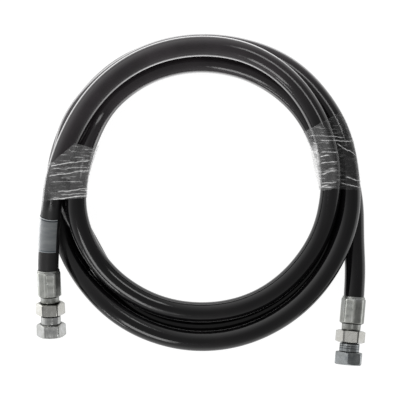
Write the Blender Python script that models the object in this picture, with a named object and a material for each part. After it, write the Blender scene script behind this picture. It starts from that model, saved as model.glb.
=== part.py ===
"""Two-wire-braid hydraulic hose, coiled and taped, with a crimped swivel-nut fitting on each end.

Units are metres. The coil lies flat on z = 0, and both fittings point to -Y. The hose is worked out
from a few keys along its turns, then settled so that the turns rest on and beside each other.
"""

import math

import bmesh
import bpy
import numpy as np
from mathutils import Matrix, Vector

MM = 0.001

# Hose: DN10 bore, two wire braids
HOSE_RADIUS = 9.5 * MM
COVER_INSIDE = 8.5 * MM
BRAID_OUTSIDE = 7.75 * MM
BRAID_INSIDE = 6.75 * MM
TUBE_OUTSIDE = 5.95 * MM
TUBE_INSIDE = 5.2 * MM
COVER_SIDES = 10
LAYER_SIDES = 8

# Tape and label
TAPE_GAP = 0.6 * MM
TAPE_THICKNESS = 0.4 * MM
TAPE_FACETS = 24
LEFT_TAPE = (265, 268, 271, 275, 280, 285, 288, 291)
RIGHT_TAPE = (60, 65, 70, 75, 80, 85, 90, 92)
LABEL_INSIDE = 9.8 * MM
LABEL_OUTSIDE = 10.2 * MM
LABEL_SPAN = (17.8 * MM, 34.2 * MM, 50.6 * MM)
LABEL_ARC = (46, 330)
LABEL_FACETS = 18

# Coil: clockwise turns seen from above, starting at the left tail
COIL_CENTRE = (2.3 * MM, 11.3 * MM)
REST_HEIGHT = HOSE_RADIUS + TAPE_GAP + TAPE_THICKNESS
LEVEL = 19.2 * MM
KEY_STEP = 3
COIL_STEP = 15

# (clockwise angle from +Y in degrees, radius in mm, level), four passes round the coil
TURN_KEYS = (
    # over the top of the left side, down to the inside of the right side
    (270, 133, 1.45), (285, 131, 1.6), (300, 130, 1.75), (330, 130, 1.95), (360, 129.5, 2.0),
    (380, 129.5, 1.95), (405, 125, 1.75), (420, 121, 1.55), (435, 119, 1.3), (450, 118, 1.0),
    (465, 117.5, 0.8), (480, 116, 0.7), (510, 115.5, 0.62), (540, 115, 0.6), (570, 116.5, 0.65),
    (590, 118, 0.95), (605, 118, 1.3), (620, 118, 1.6), (635, 118.5, 1.4),
    # along the inside of the top, then to the floor in the middle of the bundle
    (650, 118.5, 1.0), (690, 118.5, 0.75), (720, 118.5, 0.7), (740, 118.5, 0.6), (765, 118, 0.45),
    (780, 118.5, 0.3), (795, 121.5, 0.1), (810, 124, 0.0), (830, 126, 0.0), (870, 127.5, 0.0),
    (900, 128, 0.0), (930, 127.5, 0.0), (945, 122, 0.0), (957, 119, 0.05),
    # up and out under the left tape, round the outside of the top, then of the bottom
    (970, 120, 0.35), (985, 125.5, 0.85), (1000, 129.5, 1.0), (1020, 131.5, 1.05), (1050, 132, 1.05),
    (1080, 130.5, 1.05), (1107, 133, 1.0), (1125, 135, 1.0), (1143, 134, 1.0), (1161, 133.5, 1.0),
    (1180, 136, 0.95),
    (1210, 137.5, 0.7), (1230, 139, 0.6), (1260, 140.5, 0.6), (1290, 139.5, 0.6), (1305, 138, 0.5),
    (1320, 136, 0.25), (1330, 135, 0.1), (1350, 135, 0.0),
    # along the floor on the outside of the top, then out to the right tail
    (1380, 135, 0.0), (1404, 134, 0.0), (1430, 131, 0.0), (1460, 128.5, 0.0), (1485, 125, 0.0),
    (1496, 122.5, 0.0), (1505, 123, 0.0), (1513, 125.5, 0.0), (1522, 128, 0.0), (1530, 131.5, 0.0),
    (1537, 136, 0.0),
)

# Free ends of the hose, in mm, from the fitting to the coil and from the coil to the fitting
LEFT_TAIL = ((-139.7, -48.5, 28.0), (-138.3, -18.1, 34.5), (-134.8, -1.1, 37.5))
RIGHT_TAIL = ((140.5, -29.2, 10.5), (143.0, -59.5, 11.6))
TAIL_STEPS = 12

# Settling of the turns
SETTLE_SPACING = 10 * MM
SETTLE_ROUNDS = 500
SETTLE_GAP = 1.2 * MM
SETTLE_NEIGHBOURS = 12
SETTLE_FIXED = 6
SETTLE_PUSH = (0.2, 0.2, 0.3)
SETTLE_PULL = (0.03, 0.03, 0.004)
SETTLE_BEND = 0.012
SETTLE_EARLY_BEND = 0.068

# Stations of the swept solids on the tails, measured from the ferrules' hose ends
LEFT_LAST_STATION = 61 * MM
RIGHT_STATIONS = (66 * MM, 44 * MM, 22 * MM, 0)
STATION_ROOM = 8 * MM

# Fittings: distances along the axis from the ferrule's hose end
HOSE_IN_FERRULE = 24.0 * MM
NUT_FACE = 63.2 * MM
LEFT_HEADING = math.radians(2.2)
LEFT_TILT = math.radians(12.0)
LEFT_FACE_HEIGHT = 11.9 * MM
LEFT_FERRULE_XY = (-140.2 * MM, -63.8 * MM)
RIGHT_HEADING = math.radians(-5.1)
RIGHT_TILT = 0.0
RIGHT_FACE_HEIGHT = 13.9 * MM
RIGHT_FERRULE_XY = (141.9 * MM, -89.1 * MM)
LEFT_TURNS = {"ferrule": math.radians(-8), "swivel_nut": math.radians(-3.5)}
RIGHT_TURNS = {"ferrule": math.radians(20.5), "swivel_nut": math.radians(37)}
TURN_FACETS = 24
RING_FACETS = 6

# Profiles in mm: (distance along the axis, radius or half the width across flats, flats or 0)
FERRULE_PROFILE = (
    (0.0, 10.1, 0), (1.6, 10.3, 0), (2.6, 10.75, 8), (24.0, 10.75, 8), (25.4, 8.8, 0), (31.0, 8.7, 0),
    (31.0, 7.3, 0), (25.0, 7.3, 0), (24.6, 9.8, 0), (0.0, 9.8, 0),
)
STEM_PROFILE = (
    (1.0, 3.8, 0), (2.0, 4.5, 0), (8.0, 4.5, 0), (8.2, 4.1, 0), (14.0, 4.5, 0), (14.2, 4.1, 0),
    (20.0, 4.5, 0), (24.9, 4.5, 0), (25.4, 7.0, 0), (31.3, 7.0, 0),
    (31.4, 11.6, 0), (32.1, 12.0, 6), (41.8, 12.0, 6), (42.5, 11.6, 0),
    (42.6, 7.0, 0), (46.1, 7.0, 0), (46.1, 6.1, 0), (48.9, 6.1, 0), (48.9, 7.0, 0),
    (52.4, 7.0, 0), (52.4, 6.0, 0), (54.4, 6.0, 0), (54.4, 6.7, 0), (57.6, 6.0, 0),
    (57.6, 3.5, 0), (1.0, 3.5, 0),
)
NUT_PROFILE = (
    (43.2, 8.8, 0), (43.8, 9.2, 0), (51.2, 9.2, 0), (51.4, 11.5, 0), (52.3, 12.0, 6), (61.6, 12.0, 6),
    (63.2, 11.2, 0), (63.2, 9.9, 0), (62.4, 9.2, 0), (51.6, 9.2, 0), (50.8, 7.35, 0),
    (48.5, 7.35, 0), (48.5, 8.2, 0), (46.5, 8.2, 0), (46.5, 7.35, 0), (43.2, 7.35, 0),
)
THRUST_WIRE = (47.5, 7.15, 0.65)
O_RING = (53.4, 6.95, 0.6)


def clear_scene():
    for item in list(bpy.data.objects):
        bpy.data.objects.remove(item, do_unlink=True)


def make_material(name, colour, roughness, metallic):
    material = bpy.data.materials.new(name)
    material.use_nodes = True
    shader = material.node_tree.nodes["Principled BSDF"]
    shader.inputs["Base Color"].default_value = (*colour, 1.0)
    shader.inputs["Roughness"].default_value = roughness
    shader.inputs["Metallic"].default_value = metallic
    return material


# The hose's centreline


def between_keys(angles, column):
    """Smooth values of one column of TURN_KEYS at the given angles."""
    keys = np.array(TURN_KEYS, float)
    at, value = keys[:, 0], keys[:, column]
    step = np.diff(at)
    slope = np.diff(value) / step
    tangent = np.empty(len(at))
    tangent[0], tangent[-1] = slope[0], slope[-1]
    tangent[1:-1] = (slope[:-1] * step[1:] + slope[1:] * step[:-1]) / (step[1:] + step[:-1])
    index = np.clip(np.searchsorted(at, angles, side="right") - 1, 0, len(step) - 1)
    t = (angles - at[index]) / step[index]
    start = value[index] * (1 + 2 * t) * (1 - t) ** 2 + tangent[index] * step[index] * t * (1 - t) ** 2
    end = value[index + 1] * t * t * (3 - 2 * t) + tangent[index + 1] * step[index] * t * t * (t - 1)
    return start + end


def coil_points():
    angles = np.append(np.arange(TURN_KEYS[0][0], TURN_KEYS[-1][0], KEY_STEP), TURN_KEYS[-1][0])
    radius = between_keys(angles, 1) * MM
    turn = np.radians(angles)
    x = COIL_CENTRE[0] + radius * np.sin(turn)
    y = COIL_CENTRE[1] + radius * np.cos(turn)
    return np.stack([x, y, REST_HEIGHT + between_keys(angles, 2) * LEVEL], axis=1)


def smooth_through(points):
    """A curve through the points, TAIL_STEPS steps between each two."""
    points = np.array(points, float)
    padded = np.vstack([2 * points[0] - points[1], points, 2 * points[-1] - points[-2]])
    curve = []
    for index in range(1, len(padded) - 2):
        a, b, c, d = padded[index - 1:index + 3]
        for t in np.linspace(0, 1, TAIL_STEPS, endpoint=False):
            linear = (c - a) * t
            square = (2 * a - 5 * b + 4 * c - d) * t ** 2
            cube = (3 * b - a - 3 * c + d) * t ** 3
            curve.append(0.5 * (2 * b + linear + square + cube))
    return np.array(curve + [points[-1]])


def fitting_axis(heading, tilt):
    """Direction from the hose out to the nut."""
    flat = math.cos(tilt)
    return np.array([math.sin(heading) * flat, -math.cos(heading) * flat, -math.sin(tilt)])


def ferrule_end(place, face_height, tilt):
    return np.array([*place, face_height + NUT_FACE * math.sin(tilt)])


LEFT_AXIS = fitting_axis(LEFT_HEADING, LEFT_TILT)
RIGHT_AXIS = fitting_axis(RIGHT_HEADING, RIGHT_TILT)
LEFT_END = ferrule_end(LEFT_FERRULE_XY, LEFT_FACE_HEIGHT, LEFT_TILT)
RIGHT_END = ferrule_end(RIGHT_FERRULE_XY, RIGHT_FACE_HEIGHT, RIGHT_TILT)


def planned_route():
    coil = coil_points()
    left = [LEFT_END + LEFT_AXIS * HOSE_IN_FERRULE, LEFT_END]
    left += [np.array(point) * MM for point in LEFT_TAIL] + [coil[0]]
    right = [coil[-1]] + [np.array(point) * MM for point in RIGHT_TAIL]
    right += [RIGHT_END, RIGHT_END + RIGHT_AXIS * HOSE_IN_FERRULE]
    return np.vstack([smooth_through(left)[:-1], coil, smooth_through(right)[1:]])


def distances_along(points):
    return np.append(0, np.cumsum(np.linalg.norm(np.diff(points, axis=0), axis=1)))


def points_at(points, distances):
    along = distances_along(points)
    return np.stack([np.interp(distances, along, points[:, axis]) for axis in range(3)], axis=1)


def settled_route():
    """The planned route with its turns pushed apart until none passes through another."""
    planned = planned_route()
    length = distances_along(planned)[-1]
    target = points_at(planned, np.linspace(0, length, round(length / SETTLE_SPACING) + 1))
    points = target.copy()
    index = np.arange(len(points))
    apart = np.abs(index[:, None] - index[None, :]) > SETTLE_NEIGHBOURS
    free = ((index >= SETTLE_FIXED) & (index < len(points) - SETTLE_FIXED))[:, None]
    needed = 2 * HOSE_RADIUS + SETTLE_GAP
    for number in range(SETTLE_ROUNDS):
        early = 1 - number / SETTLE_ROUNDS
        offset = points[:, None] - points[None, :]
        distance = np.linalg.norm(offset, axis=2)
        overlap = np.where(apart & (distance < needed), needed / np.maximum(distance, MM) - 1, 0)
        push = (overlap[..., None] * offset).sum(axis=1) * SETTLE_PUSH
        bend = np.zeros_like(points)
        bend[2:-2] = 4 * (points[1:-3] + points[3:-1]) - points[:-4] - points[4:] - 6 * points[2:-2]
        pull = (target - points) * SETTLE_PULL
        stiffness = SETTLE_BEND + SETTLE_EARLY_BEND * early
        points = points + free * (push + bend * stiffness + pull * early)
        points[:, 2] = np.maximum(points[:, 2], REST_HEIGHT)
    return points


def clockwise_angles(points):
    """Clockwise angle from +Y, counted on from the left fitting, which stands at about 240."""
    turn = np.arctan2(points[:, 0] - COIL_CENTRE[0], points[:, 1] - COIL_CENTRE[1])
    return np.degrees(np.unwrap(turn)) + 360


def hose_stations():
    """Centreline points for the swept solids: every COIL_STEP round the coil, closer on the tails."""
    route = settled_route()
    along = distances_along(route)
    angle = clockwise_angles(route)
    left = np.append(0, HOSE_IN_FERRULE + np.array([0, *LABEL_SPAN, LEFT_LAST_STATION]))
    right = along[-1] - HOSE_IN_FERRULE - np.array(RIGHT_STATIONS)
    middle = slice(*np.searchsorted(along, (left[-1], right[0])))
    steps = np.arange(math.ceil(angle[middle][0] / COIL_STEP) * COIL_STEP, angle[middle][-1], COIL_STEP)
    coil = np.interp(steps, angle[middle], along[middle])
    coil = coil[(coil > left[-1] + STATION_ROOM) & (coil < right[0] - STATION_ROOM)]
    return points_at(route, np.concatenate([left, coil, right, along[-1:]]))


# Solids


def add_object(name, mesh, material, parent=None):
    mesh.materials.append(material)
    mesh.shade_smooth()
    mesh.set_sharp_from_angle(angle=math.radians(30))
    item = bpy.data.objects.new(name, mesh)
    bpy.context.scene.collection.objects.link(item)
    item.parent = parent
    return item


def rings_to_mesh(name, rings, ring_loop=True):
    """Faces between neighbouring rings. ring_loop joins the last ring to the first."""
    body = bmesh.new()
    loops = [[body.verts.new(point) for point in ring] for ring in rings]
    pairs = list(zip(loops, loops[1:]))
    if ring_loop:
        pairs.append((loops[-1], loops[0]))
    for first, second in pairs:
        for index in range(len(first)):
            after = (index + 1) % len(first)
            body.faces.new((first[index], first[after], second[after], second[index]))
    if not ring_loop:
        body.faces.new(loops[0])
        body.faces.new(loops[-1])
    bmesh.ops.recalc_face_normals(body, faces=body.faces)
    mesh = bpy.data.meshes.new(name)
    body.to_mesh(mesh)
    body.free()
    return mesh


def frames_along(points):
    """(point, side, up) at each point, square to the curve, carried along with no twist."""
    points = [Vector(point) for point in points]
    directions = [(b - a).normalized() for a, b in zip(points, points[1:])]
    tangents = [directions[0]]
    tangents += [(a + b).normalized() for a, b in zip(directions, directions[1:])]
    tangents.append(directions[-1])
    up = Vector((0, 0, 1))
    frames = []
    for point, tangent in zip(points, tangents):
        up = (up - tangent * up.dot(tangent)).normalized()
        frames.append((point, tangent.cross(up), up))
    return frames


def section_ring(frame, radius, turns):
    point, side, up = frame
    return [point + (side * math.cos(turn) + up * math.sin(turn)) * radius for turn in turns]


def hollow_sweep(name, frames, outside, inside, sides):
    turns = [2 * math.pi * index / sides for index in range(sides)]
    rings = [section_ring(frame, outside, turns) for frame in frames]
    rings += [section_ring(frame, inside, turns) for frame in reversed(frames)]
    return rings_to_mesh(name, rings)


def open_wrap(name, frames, outside, inside, arc):
    """A sleeve that doesn't reach all the way round: arc is in degrees from the side to the up axis."""
    turns = np.radians(np.linspace(*arc, LABEL_FACETS + 1))
    rings = []
    for frame in frames:
        ring = section_ring(frame, outside, turns)
        rings.append(ring + section_ring(frame, inside, turns[::-1]))
    return rings_to_mesh(name, rings, ring_loop=False)


def strand_sections(points, angle):
    """(radius, height, half-width) of each pass of the hose through the plane at a clockwise angle.

    A pass that crosses the plane at a slant is cut wider there than the hose is.
    """
    out = np.array([math.sin(math.radians(angle)), math.cos(math.radians(angle))])
    flat = points[:, :2] - COIL_CENTRE
    side = flat[:, 0] * out[1] - flat[:, 1] * out[0]
    reach = flat @ out
    found = []
    for index in range(len(points) - 1):
        if (side[index] < 0) == (side[index + 1] < 0) or reach[index] < 0:
            continue
        crossed = side[index] - side[index + 1]
        t = side[index] / crossed
        step = points[index + 1] - points[index]
        radius = reach[index] + t * (reach[index + 1] - reach[index])
        half = HOSE_RADIUS * np.linalg.norm(step) / abs(crossed)
        found.append((radius, points[index, 2] + t * step[2], half))
    return found


def band_ring(sections, angle, gap):
    """The tight outline, gap away from the sections, in the plane at angle and not below the floor."""
    turn = math.radians(angle)
    ring = []
    for index in range(TAPE_FACETS):
        facing = 2 * math.pi * index / TAPE_FACETS
        along, up = math.cos(facing), math.sin(facing)
        radius, height, half = max(sections, key=lambda part: part[0] * along + part[1] * up + part[2])
        radius += (half + gap) * along
        height = max(height + (half + gap) * up, TAPE_GAP + TAPE_THICKNESS - gap)
        x = COIL_CENTRE[0] + radius * math.sin(turn)
        y = COIL_CENTRE[1] + radius * math.cos(turn)
        ring.append((x, y, height))
    return ring


def tape_band(name, points, angles):
    """A thin shell. Both its skins are cut into the same triangles, so they stay parallel."""
    body = bmesh.new()
    skins = []
    for gap in (TAPE_GAP, TAPE_GAP + TAPE_THICKNESS):
        rings = [band_ring(strand_sections(points, angle), angle, gap) for angle in angles]
        skins.append([[body.verts.new(point) for point in ring] for ring in rings])
    for index in range(TAPE_FACETS):
        after = (index + 1) % TAPE_FACETS
        for skin in skins:
            for first, second in zip(skin, skin[1:]):
                body.faces.new((first[index], first[after], second[after]))
                body.faces.new((first[index], second[after], second[index]))
        for end in (0, -1):
            inner, outer = skins[0][end], skins[1][end]
            body.faces.new((inner[index], inner[after], outer[after], outer[index]))
    bmesh.ops.recalc_face_normals(body, faces=body.faces)
    mesh = bpy.data.meshes.new(name)
    body.to_mesh(mesh)
    body.free()
    return mesh


def turned(name, profile, twist=0.0):
    """A hollow turned body about +Z, with flats where the profile asks for them."""
    rings = []
    for place, reach, flats in profile:
        ring = []
        for index in range(TURN_FACETS):
            turn = 2 * math.pi * index / TURN_FACETS
            radius = reach
            if flats:
                part = 2 * math.pi / flats
                radius = reach / math.cos((turn + part / 2) % part - part / 2)
            across = turn + twist
            ring.append(Vector((radius * math.cos(across), radius * math.sin(across), place)) * MM)
        rings.append(ring)
    return rings_to_mesh(name, rings)


def round_ring(name, place, major, minor):
    profile = []
    for index in range(RING_FACETS):
        turn = 2 * math.pi * index / RING_FACETS
        profile.append((place + minor * math.sin(turn), major + minor * math.cos(turn), 0))
    return turned(name, profile)


def add_fitting(side, end, axis, turns, metals, rubber):
    """One end: everything is turned about local +Z, which runs from the hose out to the nut."""
    place = bpy.data.objects.new(side + "_fitting_axis", None)
    bpy.context.scene.collection.objects.link(place)
    forward = Vector(axis)
    level = forward.cross(Vector((0, 0, 1))).normalized()
    flat_up = level.cross(forward)
    turn = Matrix((flat_up, forward.cross(flat_up), forward)).transposed()
    place.matrix_world = Matrix.Translation(Vector(end)) @ turn.to_4x4()
    ferrule = turned("ferrule", FERRULE_PROFILE, turns["ferrule"])
    nut = turned("nut", NUT_PROFILE, turns["swivel_nut"])
    add_object(side + "_ferrule", ferrule, metals["ferrule"], place)
    add_object(side + "_stem", turned("stem", STEM_PROFILE), metals["stem"], place)
    add_object(side + "_swivel_nut", nut, metals["nut"], place)
    add_object(side + "_thrust_wire", round_ring("wire", *THRUST_WIRE), metals["wire"], place)
    add_object(side + "_cone_o_ring", round_ring("o_ring", *O_RING), rubber, place)


def main():
    clear_scene()
    cover = make_material("cover_rubber", (0.012, 0.012, 0.013), 0.22, 0.0)
    braid = make_material("braid_steel", (0.62, 0.58, 0.48), 0.4, 1.0)
    tube = make_material("tube_rubber", (0.03, 0.03, 0.03), 0.5, 0.0)
    film = make_material("tape_film", (0.75, 0.75, 0.76), 0.2, 0.0)
    label = make_material("label_film", (0.55, 0.58, 0.6), 0.35, 0.0)
    rubber = make_material("seal_rubber", (0.02, 0.02, 0.02), 0.45, 0.0)
    metals = {
        "ferrule": make_material("ferrule_zinc", (0.62, 0.63, 0.62), 0.32, 1.0),
        "stem": make_material("stem_zinc", (0.66, 0.66, 0.64), 0.28, 1.0),
        "nut": make_material("nut_zinc", (0.68, 0.69, 0.68), 0.25, 1.0),
        "wire": make_material("wire_steel", (0.55, 0.55, 0.54), 0.35, 1.0),
    }
    points = hose_stations()
    frames = frames_along(points)
    layers = (
        ("hose_cover", HOSE_RADIUS, COVER_INSIDE, COVER_SIDES, cover),
        ("hose_wire_braid", BRAID_OUTSIDE, BRAID_INSIDE, LAYER_SIDES, braid),
        ("hose_inner_tube", TUBE_OUTSIDE, TUBE_INSIDE, LAYER_SIDES, tube),
    )
    for name, outside, inside, sides, material in layers:
        add_object(name, hollow_sweep(name, frames, outside, inside, sides), material)
    label_frames = frames_along(points[1:6])[1:4]
    wrap = open_wrap("label_wrap", label_frames, LABEL_OUTSIDE, LABEL_INSIDE, LABEL_ARC)
    add_object("label_wrap", wrap, label)
    add_object("left_tape_band", tape_band("left_tape_band", points, LEFT_TAPE), film)
    add_object("right_tape_band", tape_band("right_tape_band", points, RIGHT_TAPE), film)
    add_fitting("left", LEFT_END, LEFT_AXIS, LEFT_TURNS, metals, rubber)
    add_fitting("right", RIGHT_END, RIGHT_AXIS, RIGHT_TURNS, metals, rubber)


main()
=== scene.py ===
"""Looks of the hydraulic hose assembly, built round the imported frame. Units are metres."""

import math

import bmesh
import bpy
import numpy as np
from mathutils import Matrix, Vector, noise


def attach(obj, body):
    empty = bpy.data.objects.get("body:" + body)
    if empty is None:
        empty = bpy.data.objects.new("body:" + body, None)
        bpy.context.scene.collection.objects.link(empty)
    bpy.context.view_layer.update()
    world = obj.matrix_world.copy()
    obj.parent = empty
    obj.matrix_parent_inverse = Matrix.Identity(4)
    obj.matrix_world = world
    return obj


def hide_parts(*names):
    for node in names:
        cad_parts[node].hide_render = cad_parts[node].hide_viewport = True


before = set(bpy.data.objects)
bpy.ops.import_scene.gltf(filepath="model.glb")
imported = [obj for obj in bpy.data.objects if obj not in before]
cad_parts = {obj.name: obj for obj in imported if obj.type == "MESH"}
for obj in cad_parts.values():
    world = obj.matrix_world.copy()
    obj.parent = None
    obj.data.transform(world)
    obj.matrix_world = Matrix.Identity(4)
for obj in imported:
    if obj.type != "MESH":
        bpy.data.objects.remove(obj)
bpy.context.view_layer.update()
MM = 0.001

# Hose
HOSE_RADIUS = 9.5 * MM
COVER_INSIDE = 8.5 * MM
BRAID = (7.75 * MM, 6.85 * MM)
TUBE = (6.0 * MM, 5.15 * MM)
HOSE_STEP = 3.6 * MM
HOSE_SIDES = 36
LAYER_STEP = 8 * MM
LAYER_SIDES = 16

# Film and label
TAPE_GAP = 0.6 * MM
TAPE_THICKNESS = 0.4 * MM
FILM_THICKNESS = 0.12 * MM
FILM_FLOOR = 0.3 * MM
FILM_ROWS = 90
FILM_FACETS = 96
# how far the film's edges waver, in degrees, and how much of that is left at its start
FILM_WAVER = 0.9
FILM_START_SHARE = 0.6
FILM_EDGE_POWER = 1.6
# height of the ripples in mm, and how much of the folds' height is left on the underside
FILM_RIPPLE = 0.25
FILM_UNDERSIDE_SHARE = 0.15
LABEL_REACH = (9.75 * MM, 9.95 * MM)
LABEL_SPAN = (17.8 * MM, 50.6 * MM)
LABEL_ARC = (46, 330)
LABEL_ROWS = 25
LABEL_COLUMNS = 73

# Each film's angles are clockwise degrees from +Y; film_band and clear_film say what the rest is
FILMS = {
    "left": {
        "start": 265.2, "stops": (279, 293), "seed": 3.0, "bridges": (),
        "creases": (
            (268, 0.4, 1.3, 0.25), (271.5, 1.0, 0.8, 0.3), (279, 0.6, 1.5, 0.28), (285, 0.9, 1.6, 0.35),
        ),
        "haze": 0.11, "clear_from": 141, "glares": (),
        "lines": (
            (-137, -101, 34.0, 0.15, 0.9), (-139, -101, 24.8, 0.14, 0.8), (-137, -101, 29.3, 0.02, 0.4),
            (-131, -101, 9.5, 0.12, 0.55), (-128, -101, 5.8, 0.03, 0.4), (-137, -101, 2.6, 0.08, 0.95),
        ),
    },
    "right": {
        "start": 61, "stops": (90.5, 91), "seed": 8.0, "bridges": ((80, 8, 2.0),),
        "creases": (
            (66, -0.7, 1.0, 0.3), (72, 0.8, 1.5, 0.3), (75, 0.9, 1.1, 0.25), (84, -0.6, 0.9, 0.3),
            (88, 0.3, 1.2, 0.25),
        ),
        "haze": 0.1, "clear_from": 123, "glares": ((0.11, 0.48, 0.39, 0.53),),
        "lines": (
            (108, 142, 54.3, -0.03, 0.45), (124, 144, 46.5, -0.55, 0.45), (104, 132, 58.3, -0.05, 0.3),
            (109, 126, 44.0, 0.0, 0.5), (108, 118, 40.5, 0.15, 0.9), (109, 126, 34.7, 0.1, 0.7),
            (109, 125, 26.0, 0.25, 0.7), (109, 125, 16.5, 0.1, 0.6), (108, 118, 13.0, 0.4, 0.9),
            (132, 149, 19.5, -0.25, 0.5), (128, 149, 13.8, -0.22, 0.5),
        ),
    },
}

# Coil: clockwise turns seen from above, starting at the left tail, as in the CAD source
COIL_CENTRE = (2.3 * MM, 11.3 * MM)
REST_HEIGHT = HOSE_RADIUS + TAPE_GAP + TAPE_THICKNESS
LEVEL = 19.2 * MM
KEY_STEP = 3

# (clockwise angle from +Y in degrees, radius in mm, level), four passes round the coil
TURN_KEYS = (
    # over the top of the left side, down to the inside of the right side
    (270, 133, 1.45), (285, 131, 1.6), (300, 130, 1.75), (330, 130, 1.95), (360, 129.5, 2.0),
    (380, 129.5, 1.95), (405, 125, 1.75), (420, 121, 1.55), (435, 119, 1.3), (450, 118, 1.0),
    (465, 117.5, 0.8), (480, 116, 0.7), (510, 115.5, 0.62), (540, 115, 0.6), (570, 116.5, 0.65),
    (590, 118, 0.95), (605, 118, 1.3), (620, 118, 1.6), (635, 118.5, 1.4),
    # along the inside of the top, then to the floor in the middle of the bundle
    (650, 118.5, 1.0), (690, 118.5, 0.75), (720, 118.5, 0.7), (740, 118.5, 0.6), (765, 118, 0.45),
    (780, 118.5, 0.3), (795, 121.5, 0.1), (810, 124, 0.0), (830, 126, 0.0), (870, 127.5, 0.0),
    (900, 128, 0.0), (930, 127.5, 0.0), (945, 122, 0.0), (957, 119, 0.05),
    # up and out under the left tape, round the outside of the top, then of the bottom
    (970, 120, 0.35), (985, 125.5, 0.85), (1000, 129.5, 1.0), (1020, 131.5, 1.05), (1050, 132, 1.05),
    (1080, 130.5, 1.05), (1107, 133, 1.0), (1125, 135, 1.0), (1143, 134, 1.0), (1161, 133.5, 1.0),
    (1180, 136, 0.95),
    (1210, 137.5, 0.7), (1230, 139, 0.6), (1260, 140.5, 0.6), (1290, 139.5, 0.6), (1305, 138, 0.5),
    (1320, 136, 0.25), (1330, 135, 0.1), (1350, 135, 0.0),
    # along the floor on the outside of the top, then out to the right tail
    (1380, 135, 0.0), (1404, 134, 0.0), (1430, 131, 0.0), (1460, 128.5, 0.0), (1485, 125, 0.0),
    (1496, 122.5, 0.0), (1505, 123, 0.0), (1513, 125.5, 0.0), (1522, 128, 0.0), (1530, 131.5, 0.0),
    (1537, 136, 0.0),
)

# Free ends of the hose, in mm, from the fitting to the coil and from the coil to the fitting
LEFT_TAIL = ((-139.7, -48.5, 28.0), (-138.3, -18.1, 34.5), (-134.8, -1.1, 37.5))
RIGHT_TAIL = ((140.5, -29.2, 10.5), (143.0, -59.5, 11.6))
TAIL_STEPS = 12

# Settling of the turns
SETTLE_SPACING = 10 * MM
SETTLE_ROUNDS = 500
SETTLE_GAP = 1.2 * MM
SETTLE_NEIGHBOURS = 12
SETTLE_FIXED = 6
SETTLE_PUSH = (0.2, 0.2, 0.3)
SETTLE_PULL = (0.03, 0.03, 0.004)
SETTLE_BEND = 0.012
SETTLE_EARLY_BEND = 0.068

# Fittings
HOSE_IN_FERRULE = 24.0 * MM
NUT_FACE = 63.2 * MM
LEFT_HEADING = math.radians(2.2)
LEFT_TILT = math.radians(12.0)
LEFT_FACE_HEIGHT = 11.9 * MM
LEFT_FERRULE_XY = (-140.2 * MM, -63.8 * MM)
RIGHT_HEADING = math.radians(-5.1)
RIGHT_TILT = 0.0
RIGHT_FACE_HEIGHT = 13.9 * MM
RIGHT_FERRULE_XY = (141.9 * MM, -89.1 * MM)
LEFT_TURNS = {"ferrule": math.radians(-8), "swivel_nut": math.radians(-3.5)}
RIGHT_TURNS = {"ferrule": math.radians(20.5), "swivel_nut": math.radians(37)}
METAL_FACETS = 120

# Profiles of the fittings, in mm
NO_CONE = 99.0
CORNER_BLUNT = 0.25
FERRULE_BLUNT = 0.35
FERRULE_FLATS = 8
HEX_APOTHEM = 12.0
HEX_CUT = 0.5
HEX_STEPS = 8
# place, radius of the ring and radius of its section
THRUST_WIRE = (47.5, 7.15, 0.65)
O_RING = (53.4, 6.95, 0.65)
# The helix moves the points whose radius is between two values, and fades out at both ends
THREAD = {
    "start": 52.4, "stop": 62.0, "pitch": 1.5, "depth": 0.8,
    "between": (9.0, 10.2), "fade": 0.8, "rings": 8,
}
# The swage moves the points beyond a radius; ridge_width is in radians
SWAGE = {
    "start": 2.6, "stop": 24.2, "beyond": 10.0, "waves": 3, "depth": 0.05,
    "ridge": 0.16, "ridge_width": 0.035,
}

# Edges that bend more than this many degrees stay sharp
HOSE_SHARP_ANGLE = 30
LAYER_SHARP_ANGLE = 60
FILM_SHARP_ANGLE = 60
LABEL_SHARP_ANGLE = 50
METAL_SHARP_ANGLE = 24

# Looks of the fittings, as plated_steel and plain_rubber take them; their corner tones are painted highlight
# and shade, and their crevices painted shade
PLATING = {
    "ferrule_zinc": (
        "ferrule_look", (0.46, 0.47, 0.47), (0.27, 0.28, 0.27), (0.26, 0.42), (11.0, 11.2, 1.7),
        ((25.1, 0.5), (30.9, 0.3)),
    ),
    "stem_zinc": (
        "stem_look", (0.7, 0.7, 0.69), (0.48, 0.48, 0.47), (0.16, 0.32), (13.35, 13.6, 0.35),
        ((31.3, 0.3), (42.8, 0.6)),
    ),
    "nut_zinc": (
        "nut_look", (0.64, 0.65, 0.66), (0.38, 0.39, 0.4), (0.14, 0.3), (13.4, 13.6, 1.2),
        ((43.3, 1.1), (50.9, 0.3)),
    ),
    "wire_steel": ("wire_look", (0.7, 0.7, 0.68), (0.45, 0.45, 0.44), (0.25, 0.4), (7.7, 7.8, 1.1)),
}
# Painted shade: a darker copy of the nut's plating, so that the right nut's facets look less lit
SHADED_NUT = (
    "shaded_nut_look", (0.43, 0.45, 0.47), (0.2, 0.22, 0.24), (0.16, 0.34), (13.4, 13.6, 1.8),
    ((43.3, 0.9), (45.9, 0.3), (47.9, 0.3), (50.9, 0.3)),
)
TUBE_RUBBER = ((0.03, 0.03, 0.03), 0.45, 0.6)
SEAL_RUBBER = ((0.02, 0.02, 0.02), 0.35, 0.5)

# View
CAMERA_PLACE = (-0.46 * MM, 0.28 * MM, 3.0)
VIEW_WIDTH = 368 * MM
VIEW_HEIGHT = 30 * MM
SENSOR = 36.0
CLIP_END = 20

# Sky: (height of a direction, brightness), the direction in X and Y of its glow, and how much
# dimmer it is on the right
SKY = ((0.0, 0.9), (0.3, 0.62), (0.75, 0.38), (0.97, 0.3))
SKY_GLOW = (-0.55, 0.83)
SKY_DARK_SIDE = 0.6

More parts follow.
